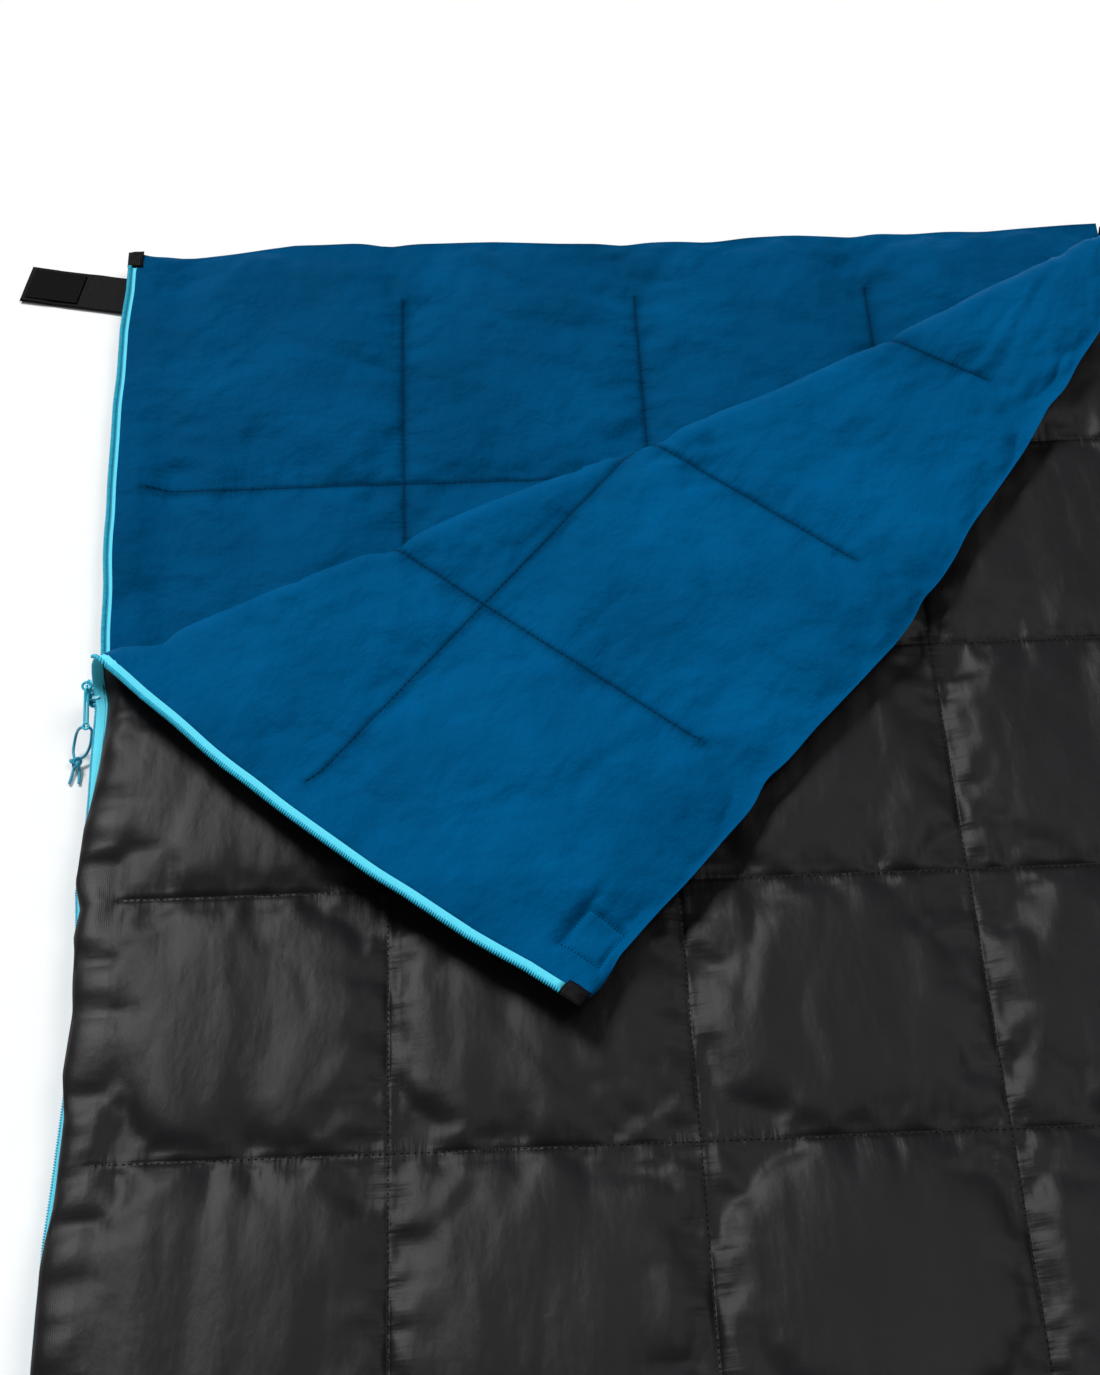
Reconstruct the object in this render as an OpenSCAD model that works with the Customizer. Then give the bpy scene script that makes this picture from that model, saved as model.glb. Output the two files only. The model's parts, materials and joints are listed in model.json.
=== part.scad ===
// Rectangular sleeping bag: two quilted panels joined by a fold along the right side, closed by an
// L-shaped coil zip along the left side and the foot. The head-left corner of the top panel is unzipped
// and folded back over the shell along a slanting crease.
// X runs across the bag, Y towards the head end and Z up, with the origin at the centre of the underside.

/* [Bag] */
// Overall width, over the zip tape
bag_w = 850; // [700:10:1000]
// Overall length
bag_l = 1900; // [1700:10:2200]
// Thickness of one quilted panel
panel_t = 20; // [14:1:30]
// Room between the two linings
panel_gap = 8; // [7:0.5:10]
// Thickness of the shell and lining cloths as solids
cloth_t = 1; // [0.6:0.1:1.5]
// Radius of the corner where the zip turns along the foot
foot_corner_r = 40; // [20:5:80]

/* [Folded corner] */
// Distance from the head edge down to the slider, where the fold starts
unzipped = 450; // [300:1:600]
// Angle of the crease to the foot edge
crease_angle = 25; // [20:1:27]
// Width of the neck that keeps the top panel joined at the head-right corner
neck_w = 25; // [15:1:60]
// Height of the crease line above the shell
crease_rise = 1.2; // [1.1:0.1:3]

/* [Quilting] */
// Distance of the first cross seam from the head edge
first_row = 255; // [150:1:300]
// Distance between cross seams
row_pitch = 190; // [150:1:220]
// Distance between lengthways seams on the top panel
top_pitch = 200; // [160:1:220]
// Sideways shift of the top panel's seams
top_shift = -10; // [-20:1:20]
// Distance between lengthways seams on the bottom panel
bottom_pitch = 195; // [160:1:220]
// Sideways shift of the bottom panel's seams
bottom_shift = -3; // [-20:1:20]
// Width of a line of quilting thread
thread_w = 1.2; // [0.8:0.1:2]
// Height of a line of quilting thread
thread_h = 0.8; // [0.4:0.1:0.9]

/* [Zip] */
// How far the coil's outer edge stands out from the quilt
zip_reach = 10; // [8:0.5:14]
// Width of the part of the tape that is sewn onto the quilt
tape_sewn = 6; // [4:1:10]
// Thickness of the tape
tape_t = 0.8; // [0.5:0.1:1]
// Width of one coil
coil_w = 3; // [2:0.5:4]
// Length of the slider
slider_l = 18; // [14:1:24]
// Thickness of the slider's plates
slider_plate = 1.6; // [1:0.1:2]
// Length of the end tabs on the tapes
end_tab_l = 18; // [12:1:30]

/* [Pull] */
// Length of the pull bar between its two eyes
pull_l = 31; // [20:1:40]
// Downward slope of the pull at rest
pull_droop = 15; // [5:1:30]
// Outer diameter of the eyes
eye_d = 6.4; // [5:0.1:8]
// Diameter of the holes in the eyes
eye_bore = 3; // [2.8:0.1:3.6]
// Thickness of the pull bar
pull_t = 2; // [1.6:0.1:2.2]
// Diameter of the pull cord
cord_d = 2.2; // [1.6:0.1:2.4]
// Diameter of the knot in the cord
knot_d = 7; // [6:0.5:9]

/* [Strap] */
// Width of the closure strap
strap_w = 40; // [25:1:50]
// Length of the free part of the strap
strap_l = 92; // [60:1:120]
// Thickness of the strap
strap_t = 2; // [1:0.1:3]
// Slant of the strap to the side edge
strap_slant = 12; // [0:1:15]
// Distance from the head edge to the middle of the strap's root
strap_drop = 33; // [25:1:60]
// Side of the square loop patch
patch_w = 31; // [25:1:40]

/* [Hidden] */
$fn = 48;

shell_colour = "#322f33";
lining_colour = "#00507c";
filling_colour = "#e8e8e4";
thread_colour = "#141316";
zip_colour = "#35c4e0";
coil_colour = "#28b4d4";
cord_colour = "#1a98b9";
webbing_colour = "#1a191b";

// Quilt edges
quilt_left = -bag_w/2 + zip_reach;
quilt_right = bag_w/2;
quilt_head = bag_l/2;
quilt_foot = -bag_l/2 + zip_reach;
far = bag_l;

// Heights of the two panels, and of the flap once it is folded over the crease line
top_z = panel_t + panel_gap;
top_panel_top = top_z + panel_t;
crease_z = top_panel_top + crease_rise;

// The crease: its start at the zip, its direction, and the direction across it towards the head
crease_start = [-bag_w/2, quilt_head - unzipped];
along = [cos(crease_angle), sin(crease_angle)];
across = [-sin(crease_angle), cos(crease_angle)];
neck_x = quilt_right - neck_w;
crease_end = crease_start + along*(neck_x - crease_start[0])/along[0];
// Edge of the flap at the neck, which lies parallel to the side once the flap is folded back
neck_edge = [-sin(2*crease_angle), cos(2*crease_angle)];
neck_side = [cos(2*crease_angle), sin(2*crease_angle)];
crease_gap = 0.3;
// The flap's thickness needs this much room at the neck as it swings
neck_room = (panel_t + 1)*tan(crease_angle);
neck_gap = 0.6;

// Zip heights: the bottom coil, then the top coil above it
coil_h = panel_gap/2 - tape_t - 0.2;
coil_reach = zip_reach - coil_w;
tape_reach = zip_reach - 2;
tab_h = 2.6;
tab_reach = zip_reach + 0.5;

// Slider: a channel around both coils, where the crease meets the zip
slider_y = crease_start[1] - 12;
slider_outer = -bag_w/2 - 7;
slider_inner = -bag_w/2 + 6;
slider_wall = 4.5;
slider_low = panel_t - 0.3 - slider_plate;
slider_high = top_z + 0.3;
slider_top = slider_high + slider_plate;

// Pull: turns about the bail's bar, outside the coils and high enough to clear the slider's edge
pull_x = -bag_w/2 - 5;
pull_z = slider_top + (slider_l/2)*tan(pull_droop) + 2;
pull_y = slider_y + slider_l/2;
bail_w = 4.6;
bail_post_w = 1;
bail_bar_d = 2;

// Cord route, from the knot's back up through the lower eye and down again, and the two tails
eye_y = pull_y - pull_l*cos(pull_droop);
eye_z = pull_z - pull_l*sin(pull_droop);
knot = [-440, 450, 4];
loop_route = [
    [-441, 453, 5], [-442, 459, 6], [-441, 465, 9], [-439, 469, 14], [-435, 468, 20],
    [-433, eye_y, eye_z], [-427, eye_y, eye_z], [-427, 466, 18], [-429, 460, 11],
    [-433, 455, 6], [-438, 452, 5]];
tail_routes = [
    [[-441, 448, 3], [-442, 443, 2], [-443, 438, 1.5], [-444, 434, 1.3]],
    [[-438, 448, 3], [-437, 443, 2], [-437, 438, 1.5], [-437, 434, 1.3]]];
cord_sides = 8;

// Strap: turns about a line beside the zip
strap_axis_x = -bag_w/2 - 5;
strap_y = quilt_head - strap_drop;
strap_z = 0.4;
strap_gap = 0.3;
pad_t = 1.2;
patch_t = 1;

// Plan of the quilt, grown or shrunk along the two zipped edges, with its foot-left corner rounded
module quilt_plan(grow = 0) {
    left = quilt_left - grow;
    foot = quilt_foot - grow;
    r = foot_corner_r + grow;
    translate([left + r, foot]) square([quilt_right - left - r, quilt_head - foot]);
    translate([left, foot + r]) square([r + 1, quilt_head - foot - r]);
    translate([left + r, foot + r]) circle(r);
}

// Band along the zipped edges, between two distances out from the quilt's edge
module zip_band(outer, inner) {
    difference() {
        quilt_plan(outer);
        quilt_plan(inner);
    }
}

// The part of the plan that folds back
module flap_region(gap = crease_gap) {
    base = crease_start + across*gap;
    end = crease_end - along*neck_room + across*gap;
    polygon([base - along*60, end, end + neck_edge*200, [-bag_w, far], [-bag_w, base[1]]]);
}

// The part of the plan that stays on the bag
module top_region() {
    base = crease_start - across*crease_gap;
    end = crease_end - across*crease_gap;
    corner = crease_end + neck_side*neck_gap;
    polygon([base - along*60, end, corner, corner + neck_edge*200, [bag_w, far], [bag_w, -far],
        [-bag_w, -far]]);
}

// A layer between two heights
module layer(low, high) {
    translate([0, 0, low]) linear_extrude(high - low) children();
}

// Shell of a panel as a tray: a face and a rim around its sides; its open side is up
module tray(low, high) {
    difference() {
        layer(low, high) children(0);
        layer(low + cloth_t, high + 1) children(1);
    }
}

// Turns a piece of the closed flap over the crease, to where it lies folded back
module folded() {
    translate([crease_start[0], crease_start[1], crease_z])
        rotate(a = 180, v = [along[0], along[1], 0])
            translate([-crease_start[0], -crease_start[1], -crease_z]) children();
}

// Turns a panel over about its own middle height
module turned(middle) {
    translate([0, 0, 2*middle]) mirror([0, 0, 1]) children();
}

// Lines of quilting: lengthways seams start and end short of the edges, as do the cross seams
module seam_lines(pitch, shift) {
    side_margin = 45;
    end_margin = 60;
    for (i = [-1:1])
        translate([shift + i*pitch - thread_w/2, quilt_foot + end_margin])
            square([thread_w, quilt_head - quilt_foot - 2*end_margin]);
    for (y = [quilt_head - first_row : -row_pitch : quilt_foot + end_margin])
        translate([quilt_left + side_margin, y - thread_w/2])
            square([quilt_right - quilt_left - 2*side_margin, thread_w]);
}

// Plan of a panel part, inset by the cloth's thickness so that the filling fits inside it
module inset_flap() {
    intersection() {
        flap_region(crease_gap + cloth_t);
        translate([-cloth_t, -cloth_t]) flap_region();
        quilt_inset();
    }
}
module inset_top() {
    intersection() {
        translate([cloth_t, -cloth_t]) top_region();
        quilt_inset();
    }
}
module quilt_inset() {
    intersection() {
        quilt_plan(-cloth_t);
        translate([-cloth_t, -cloth_t]) quilt_plan(0);
    }
}
module flap_plan() {
    intersection() {
        quilt_plan();
        flap_region();
    }
}
module top_plan() {
    intersection() {
        quilt_plan();
        top_region();
    }
}

// A round tube along a route, with a ring at each point square to the route there
function unit(v) = v/norm(v);
function heading(route, i) = unit(route[min(i + 1, len(route) - 1)] - route[max(i - 1, 0)]);
function side_of(h) = unit(cross(h, abs(h[2]) < 0.8 ? [0, 0, 1] : [1, 0, 0]));
function ring(route, i, d) =
    let (h = heading(route, i), u = side_of(h), v = cross(u, h))
    [for (k = [0:cord_sides - 1])
        let (a = 360*k/cord_sides) route[i] + (u*cos(a) + v*sin(a))*d/2];
module tube(route, d) {
    last = len(route) - 1;
    points = [for (i = [0:last]) each ring(route, i, d)];
    sides = [for (i = [0:last - 1], k = [0:cord_sides - 1])
        let (a = i*cord_sides + k, b = i*cord_sides + (k + 1) % cord_sides)
        each [[a, b, b + cord_sides], [a, b + cord_sides, a + cord_sides]]];
    caps = [[for (k = [cord_sides - 1:-1:0]) k],
        [for (k = [0:cord_sides - 1]) last*cord_sides + k]];
    polyhedron(points, concat(sides, caps));
}

// Bottom panel
module bottom_shell() {
    color(shell_colour) tray(0, panel_t - cloth_t) {
        quilt_plan();
        quilt_inset();
    }
}
module bottom_filling() {
    color(filling_colour) layer(cloth_t, panel_t - cloth_t) quilt_inset();
}
module bottom_lining() {
    color(lining_colour) layer(panel_t - cloth_t, panel_t) quilt_plan();
}
module bottom_quilting() {
    color(thread_colour) layer(panel_t, panel_t + thread_h) seam_lines(bottom_pitch, bottom_shift);
}
module bottom_zip_tape() {
    color(zip_colour) intersection() {
        layer(panel_t, panel_t + tape_t) zip_band(tape_reach, -tape_sewn);
        tape_stretch();
    }
}
module bottom_zip_coil() {
    color(coil_colour) intersection() {
        layer(panel_t + tape_t, panel_t + tape_t + coil_h) zip_band(zip_reach, coil_reach);
        tape_stretch();
    }
}
// Everything on the zip between the head end tab and the foot stop
module tape_stretch() {
    stop_x = quilt_right - 20;
    translate([-bag_w, -bag_l, -1]) cube([bag_w + stop_x, bag_l + quilt_head - end_tab_l, far]);
}
module bottom_zip_end_tab() {
    color(webbing_colour) layer(panel_t, panel_t + tab_h)
        translate([quilt_left - tab_reach, quilt_head - end_tab_l])
            square([tab_reach + tape_sewn, end_tab_l]);
}
module zip_foot_stop() {
    color("silver") layer(panel_t, panel_t + tape_t + coil_h)
        translate([quilt_right - 20, quilt_foot - zip_reach]) square([8, zip_reach]);
}
module strap_root() {
    color(webbing_colour) layer(strap_z, strap_z + strap_t)
        translate([strap_axis_x + strap_gap, strap_y - strap_w/2])
            square([quilt_left - strap_axis_x - strap_gap, strap_w]);
}

// Top panel, which lies turned over so that its lining faces the bottom panel
module top_shell() {
    color(shell_colour) turned(top_z + panel_t/2) tray(top_z, top_panel_top - cloth_t) {
        top_plan();
        inset_top();
    }
}
module top_filling() {
    color(filling_colour) layer(top_z + cloth_t, top_panel_top - cloth_t) inset_top();
}
module top_lining() {
    color(lining_colour) layer(top_z, top_z + cloth_t) top_plan();
}
module top_quilting() {
    color(thread_colour) layer(top_panel_top, top_panel_top + thread_h) intersection() {
        seam_lines(top_pitch, top_shift);
        top_region();
    }
}
// The closed stretch of the zip starts below the slider
module closed_stretch() {
    translate([-bag_w, -bag_l, -1]) cube([2*bag_w, bag_l + slider_y - 1, far]);
}
module top_zip_tape() {
    color(zip_colour) intersection() {
        layer(top_z - tape_t, top_z) zip_band(tape_reach, -tape_sewn);
        tape_stretch();
        closed_stretch();
    }
}
module top_zip_coil() {
    color(coil_colour) intersection() {
        layer(top_z - tape_t - coil_h, top_z - tape_t) zip_band(zip_reach, coil_reach);
        tape_stretch();
        closed_stretch();
    }
}

// Flap: modelled closed, then folded back over the crease
module flap_shell() {
    color(shell_colour) folded() turned(top_z + panel_t/2) tray(top_z, top_panel_top - cloth_t) {
        flap_plan();
        inset_flap();
    }
}
module flap_filling() {
    color(filling_colour) folded() layer(top_z + cloth_t, top_panel_top - cloth_t) inset_flap();
}
module flap_lining() {
    color(lining_colour) folded() layer(top_z, top_z + cloth_t) flap_plan();
}
module flap_quilting() {
    color(thread_colour) folded() layer(top_z - thread_h, top_z) intersection() {
        seam_lines(top_pitch, top_shift);
        flap_region();
    }
}
// The open stretch of the zip starts above the slider, so that the flap can swing clear of it
module open_stretch() {
    translate([-bag_w, slider_y + slider_l + 2, -1]) cube(far);
}
module flap_zip_tape() {
    color(zip_colour) folded() intersection() {
        layer(top_z - tape_t, top_z) zip_band(tape_reach, -tape_sewn);
        tape_stretch();
        open_stretch();
    }
}
module flap_zip_coil() {
    color(coil_colour) folded() intersection() {
        layer(top_z - tape_t - coil_h, top_z - tape_t) zip_band(zip_reach, coil_reach);
        tape_stretch();
        open_stretch();
    }
}
module flap_zip_end_tab() {
    color(webbing_colour) folded() layer(top_z - tab_h, top_z)
        translate([quilt_left - tab_reach, quilt_head - end_tab_l])
            square([tab_reach + tape_sewn, end_tab_l]);
}
patch_corner = [quilt_left + 18, quilt_head - 33];
module loop_patch() {
    color(webbing_colour) folded() layer(top_panel_top, top_panel_top + patch_t)
        translate(patch_corner) square([patch_w, patch_w]);
}
// The patch's stitching shows as a square on the lining
module patch_stitching() {
    color(lining_colour) folded() layer(top_z - thread_h, top_z) translate(patch_corner)
        difference() {
            square([patch_w, patch_w]);
            translate([thread_w, thread_w]) square([patch_w - 2*thread_w, patch_w - 2*thread_w]);
        }
}

// Slider
module slider_body() {
    color(zip_colour) translate([slider_outer, slider_y, slider_low]) difference() {
        cube([slider_inner - slider_outer, slider_l, slider_top - slider_low]);
        translate([slider_wall, -1, slider_plate])
            cube([far, slider_l + 2, slider_high - slider_low - slider_plate]);
    }
}
module slider_bail() {
    post_l = 5;
    color(zip_colour) translate([pull_x, pull_y, 0]) {
        for (x = [-bail_w/2, bail_w/2 - bail_post_w])
            translate([x, -post_l/2, slider_top])
                cube([bail_post_w, post_l, pull_z + 1.6 - slider_top]);
        translate([-bail_w/2 + bail_post_w, 0, pull_z]) rotate([0, 90, 0])
            cylinder(d = bail_bar_d, h = bail_w - 2*bail_post_w);
    }
}

// Pull bar with an eye at each end
module pull_tab() {
    bar_h = 3;
    color(zip_colour) translate([pull_x, pull_y, pull_z]) rotate([pull_droop, 0, 0])
        rotate([0, 90, 0]) translate([0, 0, -pull_t/2]) difference() {
            union() {
                cylinder(d = eye_d, h = pull_t);
                translate([0, -pull_l, 0]) cylinder(d = eye_d, h = pull_t);
                translate([-bar_h/2, -pull_l, 0]) cube([bar_h, pull_l, pull_t]);
            }
            for (y = [0, -pull_l])
                translate([0, y, -1]) cylinder(d = eye_bore, h = pull_t + 2);
        }
}

// Cord through the lower eye, knotted below it
module pull_cord() {
    color(cord_colour) tube(loop_route, cord_d);
}
module cord_knot() {
    color(cord_colour) translate(knot) sphere(d = knot_d);
}
module cord_tails() {
    color(cord_colour) for (route = tail_routes) tube(route, cord_d);
}

// Closure strap
module strap_plan(inset, length) {
    translate([strap_axis_x, strap_y]) intersection() {
        rotate(-strap_slant) translate([-length, -strap_w/2 + inset])
            square([length + strap_w, strap_w - 2*inset]);
        translate([-far - strap_gap, -far/2]) square([far, far]);
    }
}
module strap() {
    color(webbing_colour) layer(strap_z, strap_z + strap_t) strap_plan(0, strap_l);
}
module hook_pad() {
    pad_l = 45;
    color(webbing_colour) layer(strap_z + strap_t, strap_z + strap_t + pad_t)
        translate([strap_axis_x, strap_y]) rotate(-strap_slant)
            translate([-strap_l + 4, -strap_w/2 + 4]) square([pad_l, strap_w - 8]);
}

bottom_shell();
bottom_filling();
bottom_lining();
bottom_quilting();
bottom_zip_tape();
bottom_zip_coil();
bottom_zip_end_tab();
zip_foot_stop();
strap_root();
top_shell();
top_filling();
top_lining();
top_quilting();
top_zip_tape();
top_zip_coil();
flap_shell();
flap_filling();
flap_lining();
flap_quilting();
flap_zip_tape();
flap_zip_coil();
flap_zip_end_tab();
loop_patch();
patch_stitching();
slider_body();
slider_bail();
pull_tab();
pull_cord();
cord_knot();
cord_tails();
strap();
hook_pad();
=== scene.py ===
"""Looks of the rectangular sleeping bag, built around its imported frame.

The two quilted panels are sheets of cloth worked out in the closed bag's plan: u runs across the bag
and v towards the head, in millimetres, as in the frame. A cloth simulation puffs the sheets up
between their seams, and fold() then turns the head-left corner back over the shell.
"""

import json
import math

import bpy
import numpy as np
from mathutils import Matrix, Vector


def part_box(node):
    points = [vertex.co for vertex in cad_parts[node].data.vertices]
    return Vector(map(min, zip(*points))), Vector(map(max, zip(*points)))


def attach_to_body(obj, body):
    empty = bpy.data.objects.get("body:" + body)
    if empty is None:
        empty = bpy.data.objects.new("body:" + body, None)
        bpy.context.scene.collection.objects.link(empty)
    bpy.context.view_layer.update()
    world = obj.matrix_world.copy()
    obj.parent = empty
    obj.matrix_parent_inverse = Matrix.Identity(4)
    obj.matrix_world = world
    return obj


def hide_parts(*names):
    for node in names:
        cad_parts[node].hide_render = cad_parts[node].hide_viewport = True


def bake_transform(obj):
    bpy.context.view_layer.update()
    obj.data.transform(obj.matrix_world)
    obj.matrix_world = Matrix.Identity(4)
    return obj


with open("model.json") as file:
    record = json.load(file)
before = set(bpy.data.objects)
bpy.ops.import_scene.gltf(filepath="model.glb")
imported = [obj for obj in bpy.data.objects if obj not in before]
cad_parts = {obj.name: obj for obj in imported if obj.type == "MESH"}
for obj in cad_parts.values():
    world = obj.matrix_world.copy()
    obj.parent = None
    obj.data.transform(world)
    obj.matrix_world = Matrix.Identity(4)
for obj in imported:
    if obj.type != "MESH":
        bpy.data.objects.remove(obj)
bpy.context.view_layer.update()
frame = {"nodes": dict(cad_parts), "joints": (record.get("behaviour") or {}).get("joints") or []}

MM = 0.001


# -------- dimensions, in millimetres


def node_box(node):
    low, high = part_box(node)
    return np.array(low) / MM, np.array(high) / MM


def heights(node):
    return (corner[2] for corner in node_box(node))


def joint(name):
    return next(j for j in frame["joints"] if j["name"] == name)


def pivot(name):
    return np.array(joint(name)["pos_m"]) / MM


LEFT, FOOT, _ = node_box("bottom_shell")[0]
RIGHT, HEAD, _ = node_box("bottom_shell")[1]
BOTTOM_TOP = node_box("bottom_lining")[1][2]
LINING_Z = node_box("top_lining")[0][2]
SHELL_Z = node_box("top_shell")[1][2]
MIDDLE_Z = (LINING_Z + SHELL_Z) / 2
# The quilts end at SIDE, where the cloth of the side fold starts
SIDE = RIGHT - 23
CORNER_R = 40

# The crease, and the band of cloth that bends round it
CREASE = pivot("corner_fold")
CREASE_SLOPE = joint("corner_fold")["axis"][1] / joint("corner_fold")["axis"][0]
BEND_R = CREASE[2] - MIDDLE_Z
BAND = BEND_R * math.pi / 2

# Where the seams run
TOP_COLUMNS = (-210, -10, 190)
BOTTOM_COLUMNS = (-198, -3, 192)
ROW_PITCH = 190
ROWS = tuple(HEAD - 255 - ROW_PITCH * i for i in range(9))
SEAM_LEFT, SEAM_RIGHT = LEFT + 18, RIGHT - 45
SEAM_FOOT, SEAM_HEAD = FOOT + 60, HEAD - 60
# How far a seam lies below the crown, the most that any cloth does, and how fast the puff rises
SEAM_DEPTH = 7.6
DEEPEST = 9.2
PLUMP = 2.3

# How far the tape and its teeth reach out from the quilt and in under it
ZIP_REACH = 10
TAPE_REACH = 8
TAPE_SEWN = 6
COIL_PITCH = 1.9
ZIP_END_X = RIGHT - 20
TAB_L, TAB_T = 18, 2.6
TAPE_STEP = 5
SLIDER_Y = tuple(node_box("slider_body")[i][1] for i in (0, 1))


# -------- noise and smooth steps


def smooth(x):
    x = np.clip(x, 0, 1)
    return x * x * (3 - 2 * x)


def bell(x, width):
    return np.exp(-((x / width) ** 2))


def rounded(edge, width):
    """How far a face has risen at a distance in from its edge, as a quarter circle of some width."""
    return np.sqrt(1 - (1 - np.clip(edge / width, 0, 1)) ** 2)


def lattice(ix, iy, seed):
    """A repeatable random number from -1 to 1 for each whole-number place."""
    h = (ix * 374761393 + iy * 668265263 + seed * 974634777) & 0xFFFFFFFF
    h = ((h ^ (h >> 13)) * 1274126177) & 0xFFFFFFFF
    return ((h ^ (h >> 16)) & 0xFFFF) / 32767.5 - 1


def noise(x, y, seed):
    """Smooth noise from -1 to 1 with features about one unit across."""
    x, y = np.broadcast_arrays(np.asarray(x, float), np.asarray(y, float))
    ix, iy = np.floor(x).astype(np.int64), np.floor(y).astype(np.int64)
    fx, fy = smooth(x - ix), smooth(y - iy)
    near = lattice(ix, iy, seed) * (1 - fx) + lattice(ix + 1, iy, seed) * fx
    over = lattice(ix, iy + 1, seed) * (1 - fx) + lattice(ix + 1, iy + 1, seed) * fx
    return near * (1 - fy) + over * fy


def ridges(x, y, seed):
    """Sparse sharp creases, from 0 to 1."""
    return np.clip(1 - 5 * np.abs(noise(x, y, seed)), 0, 1) ** 2


# -------- the plan of the bag


def round_corner(u, v):
    """Rounds the foot-left corner of the square plan."""
    p, q = LEFT + CORNER_R - u, FOOT + CORNER_R - v
    inside = (p > 0) & (q > 0)
    longest = np.maximum(p, q)
    scale = np.where(inside, longest / np.maximum(np.hypot(p, q), 1e-9), 1)
    return (
        np.where(inside, LEFT + CORNER_R - p * scale, u),
        np.where(inside, FOOT + CORNER_R - q * scale, v),
    )


# How far the zipped edge strays from straight along the bag, and each panel's head edge across it
SIDE_STRAY = (
    (80, -3), (190, 3), (235, 6), (280, 4), (330, -3), (380, 0), (520, 0), (650, -6), (860, -8),
    (905, -5),
)
HEAD_STRAY = (
    (-425, 0), (-370, 1), (-290, 12), (-120, 9), (-40, 3), (60, 1), (130, 5), (300, 4), (402, 10),
)
FLAP_STRAY = (
    (-425, 0), (-380, -3), (-300, 0), (-150, 0), (-60, 5), (20, 0), (100, -5), (200, -2), (402, 0),
)
FLAP_BOW = 8.0


def along(stray, place):
    """A stray, given as pairs of place and distance, at any place."""
    places, distances = zip(*stray)
    return np.interp(place, places, distances)


def sway(u, v, top):
    """The wander of a panel's edges in its plan."""
    from_left = np.maximum(u - LEFT, 0)
    from_head = np.maximum(HEAD - v, 0)
    still = 1 - bell(v - SLIDER_Y[0] - 9, 34)
    wander = 1.6 * noise(v / 88, 0.3, 11) + 1.0 * noise(v / 37, 0.7, 12)
    side = along(SIDE_STRAY, v) + wander * still
    if top:
        past_crease = np.clip((v - CREASE[1]) / (HEAD - CREASE[1]), 0, 1)
        side = side - FLAP_BOW * np.sin(math.pi * past_crease)
    head = along(FLAP_STRAY if top else HEAD_STRAY, u) + 2 * noise(u / 34, 0.6, 14)
    tuck = 3 * sum(bell(u - c, 16) for c in TOP_COLUMNS)
    return (
        u + side * np.exp(-from_left / 70),
        v + (head * smooth((u - LEFT) / 40) - tuck) * np.exp(-from_head / 55),
    )


def crease_v(u):
    """Where the crease runs in the plan, and the tangent of its slope there."""
    bow_start, bow = 60, 2.6e-4
    past = np.maximum(u - bow_start, 0)
    return (
        CREASE[1] + (u - CREASE[0]) * CREASE_SLOPE + bow * past**2,
        CREASE_SLOPE + 2 * bow * past,
    )


def gather(u):
    """Share of its length that the flap keeps, which drops to nothing at the head-right corner."""
    pinch_start = 287
    pinch = np.clip((u - pinch_start) / (SIDE - pinch_start), 0, 1)
    return (1 - 0.00035 * np.maximum(u, 0)) * (1 - pinch**2)


def fold(u, v, z):
    """Takes points of the closed top panel to where they lie with the corner folded back."""
    line, slope = crease_v(u)
    angle = np.arctan(slope)
    band_v = BAND / np.cos(angle)
    q = v - line
    q = np.where(q > band_v, band_v + (q - band_v) * gather(u), q)
    s = q * np.cos(angle)
    turn = math.pi * np.clip((s + BAND) / (2 * BAND), 0, 1)
    round_bend = -BAND + BEND_R * np.sin(turn)
    reach = np.where(s < -BAND, s, np.where(s > BAND, -s, round_bend))
    lift = BEND_R * (1 - np.cos(turn))
    h = z - MIDDLE_Z
    reach = reach - h * np.sin(turn)
    height = MIDDLE_Z + lift + h * np.cos(turn)
    x = u + np.cos(angle) * q * np.sin(angle) - np.sin(angle) * reach
    y = line + np.sin(angle) * q * np.sin(angle) + np.cos(angle) * reach
    flat_start = 310
    flat = np.sqrt(1 - np.clip((u - flat_start) / (SIDE - flat_start), 0, 1) ** 2)
    over = height > CREASE[2]
    return x, y, np.where(over, CREASE[2] + (height - CREASE[2]) * flat, height)


def laid(u, v, z, folded):
    """Where places of a panel lie, with its wandering edges and the top panel's folded corner."""
    x, y = sway(u, v, folded)
    return fold(x, y, z) if folded else (x, y, z)


# -------- grid lines


SEAM_STEPS = (0, 1.4, 3.2, 5.8, 9.0)
EDGE_STEPS = (0, 0.3, 1.2, 2.7, 4.7, 7.1, 9.9, 12.9, 16)


def grid_lines(low, high, seams, step, rolled=(True, True)):
    """Grid lines from low to high, closer together beside the seams and the rolled edges."""
    keep = {low, high}
    keep |= {s + side * d for s in seams for d in SEAM_STEPS for side in (-1, 1)}
    keep |= {low + d for d in EDGE_STEPS if rolled[0]}
    keep |= {high - d for d in EDGE_STEPS if rolled[1]}
    keep = sorted(k for k in keep if low <= k <= high)
    made = [keep[0]]
    for a, b in zip(keep, keep[1:]):
        parts = max(1, math.ceil((b - a) / step((a + b) / 2)))
        made += list(np.linspace(a, b, parts + 1)[1:])
    return np.array(made)


def spacing(fine, above=-math.inf, coarse=0.0):
    """A step for grid_lines: fine above a place along the line, and coarse below it."""
    return lambda place: fine if place > above else coarse


# -------- cloth simulation


def attach(mesh, name, vectors):
    """Keeps a vector for each of a mesh's points, under a name that materials read."""
    layer = mesh.attributes.new(name, "FLOAT_VECTOR", "POINT")
    layer.data.foreach_set("vector", vectors.astype(np.float32).ravel())


def new_object(name, data):
    piece = bpy.data.objects.new(name, data)
    bpy.context.scene.collection.objects.link(piece)
    return piece


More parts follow.
